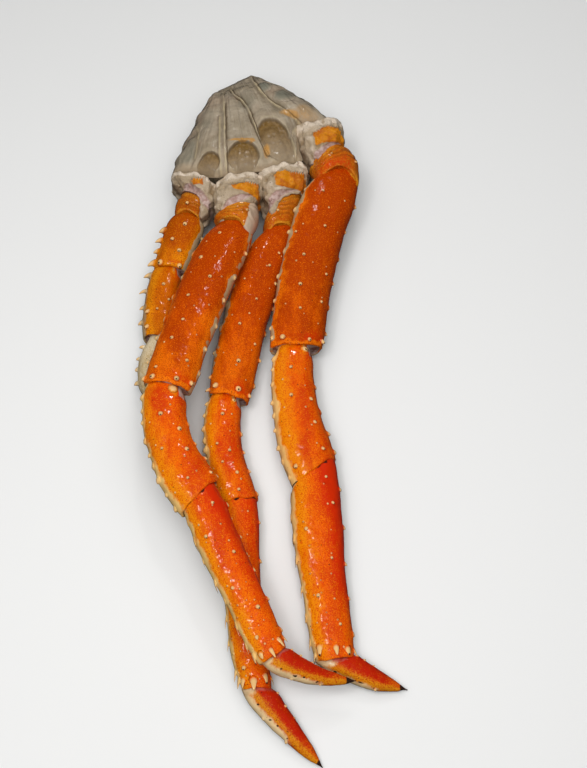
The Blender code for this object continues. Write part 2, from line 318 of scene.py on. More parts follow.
class Wire:
    """A node's output in its tree. The signs +, - and * and each method add a node that works on it."""

    def __init__(self, tree, output):
        self.tree, self.output = tree, output

    def math(self, operation, first, second):
        """The two values, worked on by a Math node."""
        made = add(self.tree, "Math", {"operation": operation})
        feed(self.tree, made.inputs[0], first)
        feed(self.tree, made.inputs[1], second)
        return Wire(self.tree, made.outputs[0])

    def __add__(self, other):
        return self.math("ADD", self, other)

    def __sub__(self, other):
        return self.math("SUBTRACT", self, other)

    def __rsub__(self, other):
        return self.math("SUBTRACT", other, self)

    def __mul__(self, other):
        return self.math("MULTIPLY", self, other)

    def slope(self, start, end):
        """0 up to start, 1 from end on and a smooth slope between."""
        return wire(self.tree, "MapRange", "Result", {"interpolation_type": "SMOOTHSTEP"}, Value=self,
                    From_Min=start, From_Max=end)

    def blend(self, low, high):
        """The colour low where the wire is 0, high where it is 1 and their mix between."""
        made = add(self.tree, "Mix", {"data_type": "RGBA"})
        for number, value in ((0, self), (6, low), (7, high)):
            feed(self.tree, made.inputs[number], value)
        return Wire(self.tree, made.outputs[2])

    def noise(self, scale, detail, roughness=0.5):
        """Cloudy noise from 0 to 1 at the places that the wire gives."""
        return wire(self.tree, "TexNoise", "Fac", Vector=self, Scale=scale, Detail=detail,
                    Roughness=roughness)

    def specks(self, scale, edge, patches, patch_edge):
        """1 in round specks about the middles of random cells, where a slower noise lets them show."""
        away = wire(self.tree, "TexVoronoi", "Distance", Vector=self, Scale=scale)
        return (1 - away.slope(*edge)) * self.noise(patches, 1).slope(*patch_edge)


def wire(tree, kind, output, settings=(), **inputs):
    """The named output of a new shader node."""
    return Wire(tree, add(tree, kind, settings, **inputs).outputs[output])


def mask(tree, name):
    """A piece's own mask of that name."""
    return wire(tree, "Attribute", "Fac", {"attribute_name": name})


def layered(colour, *layers):
    """A colour under layers, each how much it covers and its colour, the last one on top."""
    for amount, over in layers:
        colour = amount.blend(colour, over)
    return colour


def lay_finish(tree, shader, colour, roughness, height, strength, depth):
    """A shader takes its colour, its roughness and a relief of this depth in metres."""
    normal = wire(tree, "Bump", "Normal", Strength=strength, Distance=depth, Height=height)
    for socket, value in (("Base Color", colour), ("Roughness", roughness), ("Normal", normal)):
        feed(tree, shader.inputs[socket], value)


def shoulder_finish():
    """Wet meat under thin grey shell, with cream walls, dark cracks beside them whose dark is painted
    shade, painted shade in the valleys beside the walls, brown meat in the windows, glassy bluish lobes and
    an ochre stain on some edges. Its strands fan out from the split, pale and lit by a painted highlight."""
    made, tree, shader = finish_material("wet_shoulder", Specular_IOR_Level=0.6, Coat_Weight=0.7,
                                         Coat_Roughness=0.04)
    where = wire(tree, "TexCoord", "Object")
    cloud, fine, ripple = where.noise(55, 4, 0.6), where.noise(800, 2, 0.6), where.noise(300, 2, 0.4)
    fan = wire(tree, "CombineXYZ", "Vector", X=mask(tree, "across") * 80, Y=mask(tree, "along") * 4)
    strand = fan.noise(1, 4, 0.7)
    colour = layered(
        cloud.slope(0.36, 0.62).blend(FLESH, PALE_FLESH),
        (where.noise(28, 3, 0.6).slope(0.48, 0.70) * 0.5, BLUSH),
        # Painted shade in the valleys beside the walls.
        (mask(tree, "valley") * 0.45, VALLEY_SHADE),
        # Lighter along the raised strands: pale strands with a painted highlight.
        (strand.slope(0.5, 0.72) * 0.5, STRAND_AND_HIGHLIGHT),
        (mask(tree, "glass"), cloud.blend(GLASS, OLIVE_GLASS)),
        (mask(tree, "rim") * 0.6, PALE_CHALK),
        (mask(tree, "window"), where.noise(330, 3, 0.7).slope(0.3, 0.7).blend(MEAT, PALE_MEAT)),
        (mask(tree, "milk") * 0.55, PALE_FLESH),
        (mask(tree, "chalk"), cloud.blend(CHALK, PALE_CHALK)),
        (mask(tree, "wall"), WALL_CREAM),
        ((fine * 0.6 + mask(tree, "ochre") - 0.3).slope(0.1, 1.1) * 0.85, OCHRE),
        # Dark cracks: painted shade in the grooves.
        (mask(tree, "crack"), CRACK_SHADE),
    )
    height = strand * 0.4 + (ripple * 1.3 + fine * 0.2)
    lay_finish(tree, shader, colour, cloud * 0.25 + 0.05, height, 0.8, 0.0006)
    return made


def shoulder_points():
    """Rings over the top from the arm's side to the last leg's and back below, from the wall to the
    split, which part of each belongs to the top, and the shares of the way across and back.

    Seen from above, a parabola goes back through the wall, the belly and the split edge. Heights follow
    a superellipse across, and a quarter of an ellipse closes them towards the split.
    """
    over, under = np.linspace(0, 1, SHOULDER_ACROSS), np.linspace(1, 0, SHOULDER_UNDER)[1:-1]
    across = np.concatenate([over, under])
    side = np.concatenate([np.ones(len(over)), -np.ones(len(under))])
    back = np.linspace(0, 1, SHOULDER_BACK)[:, None]
    wall, belly, split = (
        np.array([np.interp(across, ACROSS_SHARES, values) for values in zip(*line)])[:, None]
        for line in (WALL, BELLY, SPLIT_EDGE)
    )
    at_wall, at_belly, at_split = (1 - back) * (1 - 2 * back), 4 * back * (1 - back), back * (2 * back - 1)
    x, y = wall * at_wall + belly * at_belly + split * at_split
    roundness = (1 - np.abs(2 * across - 1) ** SIDE_SQUARENESS) ** (1 / SIDE_SQUARENESS)
    closing = np.sqrt(1 - (np.clip(back - CLOSING_FROM, 0, 1) / (CLOSED_AT - CLOSING_FROM)) ** 2)
    top, bottom = (through(stops, back[:, 0]) for stops in (SHOULDER_TOP, SHOULDER_BOTTOM))
    z = (top + bottom) / 2 + side * ((top - bottom) / 2 * roundness * closing)
    upper = (side > 0) * roundness**2 * closing
    return np.stack([x, y, np.maximum(z, 0.0)], axis=-1), upper, across + 0 * back, back + 0 * across


def beside(points, line):
    """How far points are from a line of straight pieces seen from above, and the same with a minus to
    its right, going along it."""
    line = np.array(line, float)
    flat = points[..., None, :2]
    start, run = line[:-1], np.diff(line, axis=0)
    share = np.clip(((flat - start) * run).sum(-1) / (run**2).sum(-1), 0, 1)
    gap = flat - start - share[..., None] * run
    away = np.linalg.norm(gap, axis=-1)
    closest = away.argmin(axis=-1)[..., None]
    turned = run[:, 0] * gap[..., 1] - run[:, 1] * gap[..., 0]
    away = np.take_along_axis(away, closest, -1)[..., 0]
    return away, np.sign(np.take_along_axis(turned, closest, -1)[..., 0]) * away


def oval(points, x, y, half_across, half_along):
    """1 on the edge of an oval seen from above, less inside it and more outside."""
    return np.hypot((points[..., 0] - x) / half_across, (points[..., 1] - y) / half_along)


def past_front(points):
    """How far back points are from the front wall, seen from above."""
    return points[..., 1] - np.interp(points[..., 0], *FRONT_EDGE)


def shoulder_relief(points, upper, across, along):
    """The shoulder's relief over its smooth top, and the masks of its finish.

    The top bulges between the walls by 1 - a bell curve of the distance to the nearest. Walls and folds
    are bell curves across their lines, with cracks beside them, and the windows are ovals sunk behind a
    low rim. Strands are lumps drawn out from the split to the front wall. The cracks, the top edge inside
    each window and the border round each lobe are painted dark as shade, and the valleys beside the
    walls are painted darker as shade.
    """
    names = ("wall", "crack", "window", "milk", "glass", "ochre", "rim")
    masks = dict.fromkeys(names, np.zeros(points.shape[:-1]))

    def at_least(**values):
        """Each named mask is raised to this value where it is lower."""
        for name, value in values.items():
            masks[name] = np.maximum(masks[name], value)

    ragged = lumps(points, 5.0, 3) + 0.5 * lumps(points, 2.2, 4)
    strands = lumps(np.stack([60.0 * across, 3.0 * along, 0.0 * along], axis=-1), 1.0, 12)
    strength = np.clip(0.68 + 0.55 * lumps(points, 8.0, 9), 0, 1)
    lift = 0.9 * lumps(points, 16.0, 1) + 0.35 * ragged + 0.5 * strands
    nearest_wall = np.inf
    for line, height, crack_sides in CHAMBER_WALLS:
        away, signed = (gap + 0.45 * ragged for gap in beside(points, line))
        nearest_wall = np.minimum(nearest_wall, away)
        lift += height * (0.35 * bell(away, 2.2) + 0.6 * strength * bell(away, 0.8))
        at_least(wall=strength * bell(away, 0.6))
        for way in crack_sides:
            # A groove beside the wall, painted dark as its shade.
            crack = bell(signed + 1.35 * way, 0.55) * rise(strength, 0.25, 0.5)
            lift -= 0.9 * crack
            at_least(crack=0.85 * crack)
    for line in FOLDS:
        away, signed = beside(points, line)
        nearest_wall = np.minimum(nearest_wall, away + 1.5)
        lift += 0.7 * bell(away, 1.0)
        at_least(wall=0.6 * bell(away, 0.8), crack=0.3 * bell(signed + 1.5, 0.7))
    lift += 2.0 * (1 - bell(nearest_wall, 5.0))
    for x, y, half_across, half_along, depth, slant in WINDOWS:
        edge = oval(points, x + slant * (y - points[..., 1]), y, half_across, half_along)
        edge += 0.12 * lumps(points, 9.0, 5) + 0.04 * ragged
        inside = 1 - rise(edge, 0.86, 1.0)
        to_legs = rise(y - points[..., 1], -0.7 * half_along, 0.9 * half_along)
        lift += -depth * inside * (1 - 0.55 * to_legs) + 0.2 * bell(edge - 1.06, 0.10)
        lift += (1.2 + 0.8 * ragged) * (1 - rise(edge, 0.0, 0.85))
        masks["wall"] = masks["wall"] * (1 - inside)
        # The top edge inside each window is painted darker, as shade.
        masks["crack"] = masks["crack"] * (1 - inside) + 0.4 * bell(edge - 0.92, 0.07) * (1 - to_legs)
        at_least(window=inside, milk=inside * to_legs, wall=0.25 * bell(edge - 1.05, 0.06),
                 rim=bell(edge - 1.2, 0.15) * (1 - inside) * (0.7 + 0.3 * ragged))
    for x, y, half_across, half_along, strong in LOBES:
        edge = oval(points, x, y, half_across, half_along) + 0.12 * ragged
        # A dark border round each lobe, painted shade in its groove.
        border = bell(edge - 1.08, 0.07)
        at_least(glass=strong * (1 - rise(edge, 0.5, 1.15)), crack=0.3 * rise(strong, 0.4, 0.9) * border)
        lift += strong * (1.2 * (1 - rise(edge, 0.4, 1.0)) - 0.4 * border)
    for x, y, half_across, half_along, strong in STAINS:
        edge = oval(points, x, y, half_across, half_along) + 0.15 * ragged
        at_least(ochre=strong * (1 - rise(edge, 0.4, 1.2)))
    # The top's front edge is rounded off, and the front wall and the strip beside it are of the same chalky
    # shell as the coxae.
    to_front = past_front(points)
    chalk = (1 - rise(to_front + 2.0 * ragged, 1.0, 8.0)) * (1 - masks["window"])
    back_off = np.clip(1 - to_front / FRONT_ROUNDING, 0, 1)
    lift = lift * rise(to_front, 0.0, 3.0) - FRONT_ROUNDING * (1 - np.sqrt(1 - back_off**2))
    # Darker beside the walls: a painted shade in the valleys there.
    masks["valley"] = bell(nearest_wall - 1.8, 1.6)
    masks = {name: made * upper for name, made in masks.items()}
    return lift * upper, {**masks, "chalk": chalk, "across": across, "along": along}


points, upper, across, along = shoulder_points()
lift, masks = shoulder_relief(points, upper, across, along)
# The outline bulges in and out, but for the front wall and the split.
bulge = 2.2 * lumps(points, 15.0, 6) + 1.6 * lumps(points, 6.0, 7)
bulge *= rise(past_front(points), 4.0, 14.0) * rise(points[..., 2], 0.0, 6.0) * (1 - rise(along, 0.86, 0.97))
points += facing(points) * (1.0, 1.0, 0.0) * bulge[..., None]
points[..., 2] = np.maximum(points[..., 2] + lift, 0.0)
make_piece("split_shoulder", [(points, masks)], shoulder_finish(), "shoulder")


# ----------------------------------------------------------
# The coxae.
# The short first article of each limb, of chalky white shell with an ochre patch over its end. It is grown
# onto the shoulder and holds the ischium in a socket that a soft lilac skin closes.

# Each limb's joint faces from the shoulder to the claw: (x, y, z, how far the face's line is turned from
# +X, how far the face is rolled). The last one is the claw's tip.
JOINTS = {
    "arm": (
        (-56, 159.5, 26, -13, 0),
        (-55, 142, 26, -34, 0),
        (-60, 131, 23, -10, 0),
        (-73, 88, 16, -13, 0),
        (-78, 29, 14, -8, 0),
        (-79, -45, 8.5, 0, 0),
    ),
    "leg_1": (
        (-20.5, 158, 27, 10, 0),
        (-22, 132, 30, 18, -4),
        (-23.5, 116, 35, -7, -8),
        (-67, -23.5, 43, -12, 0),
        (-42, -103, 39, 47, 0),
        (8, -207, 33, 32, 0),
        (62, -220.5, 18, 78, 0),
    ),
    "leg_2": (
        (13.5, 167.5, 27, 14, 0),
        (15, 141, 26, 28, 7),
        (9.5, 120.5, 20.5, 18, 14),
        (-26, -18.5, 14, -10, 8),
        (-17, -97, 12.5, 11, 0),
        (-3, -224, 8.5, 4, 0),
        (40, -272, 3, 42, 0),
    ),
    "leg_3": (
        (40, 208, 28, 8, 0),
        (47.5, 180, 31, 42, 7),
        (55, 163, 35.5, 11, 14),
        (23.5, 19, 20, 4, 12),
        (36, -76, 13, 36, 0),
        (49, -205, 9, 8, 0),
        (96.5, -224, 3.5, 66, 0),
    ),
}
# The articles of a leg and of the claw arm, in order.
LEG = ("coxa", "ischium", "merus", "carpus", "propodus", "dactyl")
ARM = ("coxa", "ischium", "merus", "carpus", "palm")
SQUARENESS = 2.25
SLENDER_FROM = 3.0
KNOB_HEIGHT, KNOB_WIDTH, KNOB_LEAN = 1.5, 3.0, 0.9
# Knobs with a stray number from -1 to 1 under this one have a dark point, and so have half of the spines.
DARK_KNOBS = 0.7
# A spine from its foot to its point: share of its length, and share of its foot's radius.
SPINE_PROFILE = ((-0.35, 1.35), (0.0, 1.0), (0.28, 0.84), (0.6, 0.66), (0.86, 0.44), (1.0, 0.14))
SPINE_SIDES = 10
# The low mound round a spine's foot: its reach and height as shares of the foot's width.
MOUND_REACH, MOUND_HEIGHT = 0.75, 0.08
# How wavy the end of an article is.
TORN_END = 1.2

COXA_SIZES = {"arm": (37, 39, 0), "leg_1": (39, 41, 0), "leg_2": (40, 41, 0), "leg_3": (40, 41, 0)}
COXA_SHARES = ((0.0, 1.02), (0.25, 1.04), (0.55, 1.0), (0.85, 0.90), (1.0, 0.78))
# How far a coxa laps back over the shoulder, and how far its end runs on at the left, at the right and on
# top.
COXA_LAP = -1.0
COXA_LOBES = {"arm": (0, 11, -1), "leg_1": (11, 1, 0), "leg_2": (9, 1, 0), "leg_3": (9, 0, 0)}
COXA_SQUARENESS = 2.8
COXA_SPINES = ((0.2, 0.8, 0.8, 1, 1.0, 3.0, 0.2),)
# Tan for the painted shade in the hollows and for a fine grain, dark specks that also paint the shade at the
# sides, and white for the painted highlight on the ridges.
TAN_SHADE_AND_GRAIN, SPECK_AND_SIDE_SHADE, RIDGE_HIGHLIGHT = (0.30, 0.195, 0.095, 1), (0.10, 0.055, 0.03, 1), (0.72, 0.60, 0.47, 1)
PATCH, DEEP_PATCH = (0.70, 0.25, 0.008, 1), (0.48, 0.115, 0.004, 1)
LILAC, PALE_LILAC = (0.40, 0.24, 0.20, 1), (0.58, 0.43, 0.38, 1)


def ring_plan(length, pitch, tuck, lip, wall, recess):
    """The rings of an article's skin: place along it, how far past that place the ring is pushed, its
    scale, how much it belongs to the outer shell and how much to the soft floor of the socket at the
    end.

    A dome of quarter-circle profile tucks the start into the socket before. The end turns over a round
    lip into a socket with a straight wall, and a slightly domed floor.
    """
    body = np.linspace(0, 1, max(int(length / pitch), 12))
    t = np.linspace(0.05, 1, 7)[:-1]
    tucked = [(0.0, -tuck * (1 - a), np.sqrt(1 - (1 - a) ** 2), 0.0, 0.0) for a in t]
    shell = [(a, 0.0, 1.0, 1.0, 0.0) for a in body]
    turn = np.linspace(0, np.pi / 2, 6)[1:]
    rim = [(1.0, lip * np.sin(a), 1 - wall * (1 - np.cos(a)), 1.0, 0.0) for a in turn]
    inner = [(1.0, lip - (lip + recess) * a, 1 - wall * (1 + 0.3 * a), 1.0 - a, a) for a in (0.35, 0.7, 1.0)]
    floor = [(1.0, -recess + recess * 0.7 * np.sin(a * np.pi / 2), (1 - wall * 1.3) * (1 - a), 0.0, 1.0)
             for a in np.linspace(0, 0.9, 8)[1:]]
    return (column[:, None] for column in np.array(tucked + shell + rim + inner + floor).T)


def article(limb, kind, size, shares, **shape):
    """An article's plain skin, from its joint with the one before to its joint with the next."""
    number = (ARM if limb == "arm" else LEG).index(kind)
    return loft(*JOINTS[limb][number:number + 2], size, shares, **shape)


def loft(start, end, size, shares, pitch=0.7, tuck=3.0, lip=0.8, wall=0.10, recess=2.5,
         squareness=SQUARENESS):
    """A plain skin, ring by ring, as the CAD solid's loft on a finer grid: a straight middle line bent
    aside by a parabola, and superellipse sections that turn and roll from one joint face to the next."""
    width, depth, bend = size
    (x0, y0, z0, turn0, roll0), (x1, y1, z1, turn1, roll1) = start, end
    length = np.hypot(x1 - x0, y1 - y0)
    heading = np.arctan2(x1 - x0, y0 - y1)
    slender = min(1.0, length / (SLENDER_FROM * width))
    place, push, scale, shell, floor = ring_plan(length, pitch, tuck, lip, wall, recess)
    off0, off1 = np.radians(turn0) - heading, np.radians(turn1) - heading
    even = off0 + (off1 - off0) * place
    off = even + slender * (off0 * (1 - place) ** 3 + off1 * place**3 - even)
    turn, roll = heading + off, np.radians(roll0 + (roll1 - roll0) * place)
    bow = 4 * place * (1 - place) * bend
    middle_x = x0 + (x1 - x0) * place - bow * np.cos(heading) + push * np.sin(turn)
    middle_y = y0 + (y1 - y0) * place - bow * np.sin(heading) - push * np.cos(turn)
    middle_z = z0 + (z1 - z0) * place
    left, right, tall = (through(shares if isinstance(shares, tuple) else shares[key], place[:, 0])
                         for key in ("left", "right", "tall"))
    columns = int(np.pi * (width + depth) / 2 / pitch)
    over = np.arange(columns) * 2.0 / columns
    circle = np.cos(np.pi * (1 - over)), np.sin(np.pi * (1 - over))
    side, top = (np.sign(part) * np.abs(part) ** (2 / squareness) for part in circle)
    aside = np.where(side < 0, left, right) * side * scale * width / 2 / np.cos(slender * off)
    upward = tall * top * scale * depth / 2
    along_face = aside * np.cos(roll) + upward * np.sin(roll)
    points = np.stack([
        middle_x + np.cos(turn) * along_face,
        middle_y + np.sin(turn) * along_face,
        middle_z + upward * np.cos(roll) - aside * np.sin(roll),
    ], axis=-1)
    points[..., 2] = np.maximum(points[..., 2], 0.0)
    onward = np.stack([np.sin(turn), -np.cos(turn), (z1 - z0) / length + 0 * turn], axis=-1)
    onward /= np.linalg.norm(onward, axis=-1, keepdims=True)
    return SimpleNamespace(points=points, place=place, over=over, side=side, top=top, shell=shell,
                           floor=floor, onward=onward, length=length, relief=0.0)


def nearest(skin, places, overs):
    """The rows and columns of a skin that lie nearest to these places along and round it."""
    body = np.flatnonzero(skin.shell[:, 0] == 1.0)
    rows = body[np.searchsorted(skin.place[body, 0], np.clip(places, 0, 0.999))]
    columns = np.round(overs / 2 * len(skin.over)).astype(int) % len(skin.over)
    return rows, columns


def spine_spots(rows, knobs, seed):
    """Places of spines, as arrays of place along, place round, length, width, lean and whether the point
    is dark.

    They come from rows, each place round, first and last place along, count, length, width and lean, and
    from single knobs, each place along and place round. They stray a little.
    """
    chance = np.random.default_rng(seed)
    spots = []
    for over, first, last, count, length, width, lean in rows:
        stray = chance.uniform(-1, 1, (5, count))
        places = np.linspace(first, last, count) + stray[0] * 0.015
        spots.append(np.stack([places, over + stray[1] * 0.03, length * (1 + 0.4 * stray[2]),
                               width * (1 + 0.25 * stray[3]), np.full(count, lean), stray[4] < 0.0]))
    if knobs:
        place, over = np.array(knobs, float).T
        stray = chance.uniform(-1, 1, (3, len(knobs)))
        spots.append(np.stack([place, over, KNOB_HEIGHT * (1 + 0.3 * stray[0]),
                               KNOB_WIDTH * (1 + 0.25 * stray[1]), np.full(len(knobs), KNOB_LEAN),
                               stray[2] < DARK_KNOBS]))
    return np.concatenate(spots, axis=1)


def swell(skin, spots):
    """How far low mounds lift a skin round its spines: a bell curve of the distance from each."""
    rows, columns = nearest(skin, spots[0], spots[1])
    lift = np.zeros(skin.points.shape[:2])
    for centre, width in zip(skin.points[rows, columns], spots[3]):
        away = np.linalg.norm(skin.points - centre, axis=-1)
        lift += MOUND_HEIGHT * width * bell(away, MOUND_REACH * width)
    return lift


def spines(skin, spots):
    """Blunt cones on flared feet that stand on a skin and lean on along it: the middle bends over by the
    square of the share of the length. Returns their points, their masks and the rows and columns of
    their roots."""
    rows, columns = nearest(skin, spots[0], spots[1])
    length, width, lean, dark = (spots[number][:, None, None, None] for number in (2, 3, 4, 5))
    root, up, onward = (made[:, None, None] for made in (
        skin.points[rows, columns], skin.normal[rows, columns], skin.onward[rows, 0]))
    side = np.cross(up, onward)
    side /= np.linalg.norm(side, axis=-1, keepdims=True)
    share, radius = (column[None, :, None, None] for column in np.array(SPINE_PROFILE).T)
    turn = np.linspace(0, 2 * np.pi, SPINE_SIDES, endpoint=False)[None, None, :, None]
    middle = root + length * share * up + onward * length * lean * np.abs(share) * share
    points = middle + radius * width / 2 * (np.cos(turn) * side + np.sin(turn) * np.cross(side, up))
    points[..., 2] = np.maximum(points[..., 2], 0.0)
    tip = np.clip(share, 0, 1) * np.minimum(length, 1)
    return points, {"tip": tip[..., 0], "dark": (dark * (share > 0.9))[..., 0]}, (rows, columns)


def dressed(skin, rows, seed, knobs=(), rough=0.22, lumpy=0.8):
    """Gives an article's skin dents, fine unevenness, mounds and a wavy end, and returns its spines."""
    at_end = rise(skin.place, 0.8, 1.0) * (skin.shell > 0)
    wave = TORN_END * lumps(skin.points + seed * 31.0, 6.0, seed) * at_end
    points = skin.points = skin.points + wave[..., None] * skin.onward
    normal = skin.normal = facing(points)
    spots = spine_spots(rows, knobs, seed)
    lift = skin.relief + lumpy * lumps(points + seed * 71.0, 21.0, seed)
    lift += rough * lumps(points, 6.0, seed + 1)
    lift += 0.3 * rough * lumps(points, 1.9, seed + 2)
    lift += swell(skin, spots)
    skin.points = points + normal * (lift * skin.shell)[..., None]
    skin.points[..., 2] = np.maximum(skin.points[..., 2], 0.0)
    return spines(skin, spots)


def grids_of(skin, masks, thorns):
    """The two grids of a piece, its skin and its spines. A spine takes over the skin's masks at its
    root."""
    points, own, roots = thorns
    masks = {name: np.broadcast_to(made, skin.points.shape[:2]) for name, made in masks.items()}
    taken = {name: made[roots][:, None, None] for name, made in masks.items() if name != "dark"}
    return [(skin.points, masks), (points, {**taken, **own})]


def chalk_finish():
    """White shell, rough and pitted, tan in its hollows as painted shade and whiter on its ridges as painted
    highlight, with dark specks, dark slits at its sides painted as shade, an ochre patch and a lilac skin at
    the socket."""
    made, tree, shader = finish_material("chalky_shell", Specular_IOR_Level=0.35)
    where = wire(tree, "TexCoord", "Object")
    cloud, middle, fine = where.noise(60, 3), where.noise(300, 3, 0.6), where.noise(900, 2, 0.6)
    stray = middle * 0.9 - 0.45
    patch = (middle * 0.5 + cloud * 0.6).slope(0.42, 0.66).blend(PATCH, DEEP_PATCH)
    colour = layered(
        cloud.slope(0.35, 0.65).blend(CHALK, PALE_CHALK),
        # Whiter on the ridges as painted highlight, tan in the hollows as painted shade, then a fine tan
        # grain of the shell's own.
        ((mask(tree, "ridge") + stray).slope(0.1, 0.9), RIDGE_HIGHLIGHT),
        ((mask(tree, "hollow") + stray).slope(0.2, 1.0), TAN_SHADE_AND_GRAIN),
        (fine.slope(0.5, 0.7) * 0.3, TAN_SHADE_AND_GRAIN),
        (where.specks(330, (0.08, 0.16), 110, (0.5, 0.56)), SPECK_AND_SIDE_SHADE),
        ((stray * 0.8 + mask(tree, "ochre")).slope(0.35, 0.75), patch),
        (mask(tree, "dot"), SPECK_AND_SIDE_SHADE),
        (mask(tree, "skin"), middle.slope(0.35, 0.65).blend(LILAC, PALE_LILAC)),
        # Painted shade darkens the coxa's two sides.
        (mask(tree, "slit"), SPECK_AND_SIDE_SHADE),
    )
    lay_finish(tree, shader, colour, cloud * 0.3 + 0.15, middle * 1.5 + fine, 0.8, 0.0006)
    return made


# Outlines (x, y) on top of each coxa: its ochre patch, and the lilac skin that closes the socket.
PATCHES = {
    "arm": ((-57.5, 152.5), (-48, 153.5), (-48, 148.5), (-56, 148)),
    "leg_1": ((-26, 145), (-22.5, 147.5), (-7, 148), (-3.5, 137), (-15.5, 138.5), (-25, 142)),
    "leg_2": ((7, 155), (9.5, 158), (28.5, 158.5), (33, 148), (19, 145.5), (7.5, 146.5)),
    "leg_3": ((37, 193.5), (43.5, 198), (55.5, 201.5), (62, 190), (55, 187.5), (39, 183.5)),
}
SKINS = {
    "arm": ((-66, 149.5), (-59, 150.5), (-50, 145), (-43, 137.5), (-39, 130.5), (-42.5, 129.5),
            (-52, 137.5), (-64, 144.5)),
    "leg_1": ((-33, 127), (-29, 134), (-19.5, 138), (-9.5, 138), (-18, 133), (-25, 128),
              (-33, 120)),
    "leg_2": ((1, 134), (4.5, 140.5), (13.5, 144.5), (27.5, 147), (16, 141.5), (8.5, 135.5), (1, 128)),
    "leg_3": ((33.5, 165), (38, 177.5), (47, 184.5), (60, 190.5), (52, 182.5), (44.5, 173.5),
              (40, 163), (34, 158)),
}
# How far apart the teeth of a patch are.
TOOTH = 1.7


def depth_in(points, outline):
    """How far inside the nearest side of an outline seen from above points are, with a minus outside it.
    A point is inside where a line from it to the right crosses the sides an odd number of times."""
    line = np.array([*outline, outline[0]], float)
    away, _ = beside(points, line)
    x, y = points[..., 0, None], points[..., 1, None]
    (x0, y0), (x1, y1) = line[:-1].T, line[1:].T
    rising = np.where(y1 == y0, 1e-9, y1 - y0)
    crossed = ((y0 > y) != (y1 > y)) & (x < x0 + (y - y0) * (x1 - x0) / rising)
    return np.where(crossed.sum(-1) % 2, away, -away)


def scoop(skin, left, right, top):
    """Moves a skin's far end on by these lengths at its left, its right and its top, by the square of
    the place along it and of the share sideways or upwards."""
    side, up = skin.side, skin.top
    on = skin.place ** 2 * (left * np.minimum(side, 0) ** 2 + right * np.maximum(side, 0) ** 2
                               + top * np.maximum(up, 0) ** 2) * (skin.shell + skin.floor)
    skin.points = skin.points + on[..., None] * skin.onward


def coxa_masks(skin, limb, seed):
    """The patch has teeth along its upper edge, with a dark dot over each gap. Both it and the skin are
    outlines seen from above with ragged edges. A painted highlight on the ridges and a painted shade in the
    hollows and round the patch follow the lumps, and a painted shade darkens the coxa's two sides as slits."""
    points, side = skin.points, skin.side
    coarse = lumps(points, 4.5, 50 + seed)
    ragged = 0.7 * lumps(points, 4.0, seed) + 0.3 * lumps(points, 1.5, seed + 1)
    upper = rise(points[..., 1] - np.mean([y for _, y in PATCHES[limb]]), 0.0, 2.0)
    teeth = np.cos(points[..., 0] * 2 * np.pi / TOOTH)
    depth = depth_in(points, PATCHES[limb]) + 1.3 * ragged + 0.7 * teeth * upper
    ochre = rise(depth, -1.0, 0.8)
    dot = bell(depth + 1.4, 0.45) * rise(-teeth, 0.3, 0.9) * upper
    lilac = rise(depth_in(points, SKINS[limb]) + ragged, -0.4, 0.8)
    bare = 1 - lilac
    crest = bell(skin.place - 0.10 - 0.05 * ragged, 0.12)
    # The ridge mask is a painted highlight, and the hollow mask a painted shade round the lumps and the
    # patch.
    return {"ochre": ochre * bare, "dot": dot * bare, "skin": lilac, "coarse": coarse,
            "ridge": (0.45 * rise(coarse, 0, 0.8) + 0.9 * crest) * bare,
            "hollow": (0.65 * rise(-coarse, 0, 0.8) + 0.4 * bell(depth + 0.6, 1)) * bare,
            # Painted shade at the coxa's two sides.
            "slit": 0.85 * rise(np.abs(side) + 0.05 * ragged, 0.90, 0.99) * rise(skin.top, -0.1, 0.3)}


chalk = chalk_finish()
for seed, (limb, size) in enumerate(COXA_SIZES.items()):
    x, y, *rest = JOINTS[limb][0]
    skin = loft((x, y + COXA_LAP, *rest), JOINTS[limb][1], size, COXA_SHARES, pitch=0.45, tuck=2.5,
                recess=1.0, squareness=COXA_SQUARENESS)
    scoop(skin, *COXA_LOBES[limb])
    masks = coxa_masks(skin, limb, seed)
    torn_back = 3.0 * lumps(skin.points, 7.0, 40 + seed) * (1 - rise(skin.place, 0.0, 0.4))
    skin.points = skin.points - torn_back[..., None] * skin.onward
    skin.relief = (0.5 * masks["ochre"] - 1.3 * masks["skin"] + 1.5 * masks.pop("coarse")
                      - 0.5 * masks["hollow"] + 0.45 * lumps(skin.points, 2.0, 54 + seed))
    thorns = dressed(skin, COXA_SPINES, 10 + seed, rough=0.5, lumpy=1.0)
    make_piece(limb + "_coxa_shell", grids_of(skin, masks, thorns), chalk, limb + "_coxa")


# ----------------------------------------------------------
# The ischia.
# The short second article, of thin orange shell in folds, which joins the coxa's socket to the long merus.

ISCHIUM_SIZES = {"arm": (29, 28, 0), "leg_1": (34, 31, 0), "leg_2": (30, 29, 0), "leg_3": (38, 34, -2)}
ISCHIUM_SHARES = ((0.0, 0.94), (0.3, 1.0), (0.65, 0.97), (1.0, 0.80))
ISCHIUM_LOBES = {"arm": (2, 3, -2), "leg_1": (-3, 9, -2), "leg_2": (3, 4, -2), "leg_3": (6, 11, -2)}
ISCHIUM_KNOBS = {
    "arm": ((0.6, 0.45),),
    "leg_1": ((0.5, 0.7),),
    "leg_2": ((0.5, 0.4),),
    "leg_3": ((0.35, 0.45), (0.7, 0.75)),
}
FOLD_STEP = 4.0

# What the finish of cooked shell is given: its colours, and its masks.
SHELL_COLOURS = ("Body", "Deep", "Light", "Red", "Pale", "Tip")
SHELL_MASKS = ("deep", "light", "red", "pale", "tip", "skin", "dark")
# Black serves the dark points and tips, and the painted shade in sockets and joint creases.
DARK_SPECK, BLACK_AND_SHADE = (0.09, 0.018, 0.006, 1), (0.03, 0.012, 0.008, 1)
SKIN, PALE_SKIN = (0.20, 0.07, 0.045, 1), (0.52, 0.36, 0.31, 1)
CREAM, RED, YELLOW = (0.85, 0.53, 0.22), (0.66, 0.026, 0.001), (0.72, 0.33, 0.02)
# How dark the wall inside a socket is.
SOCKET_SHADE = 0.42


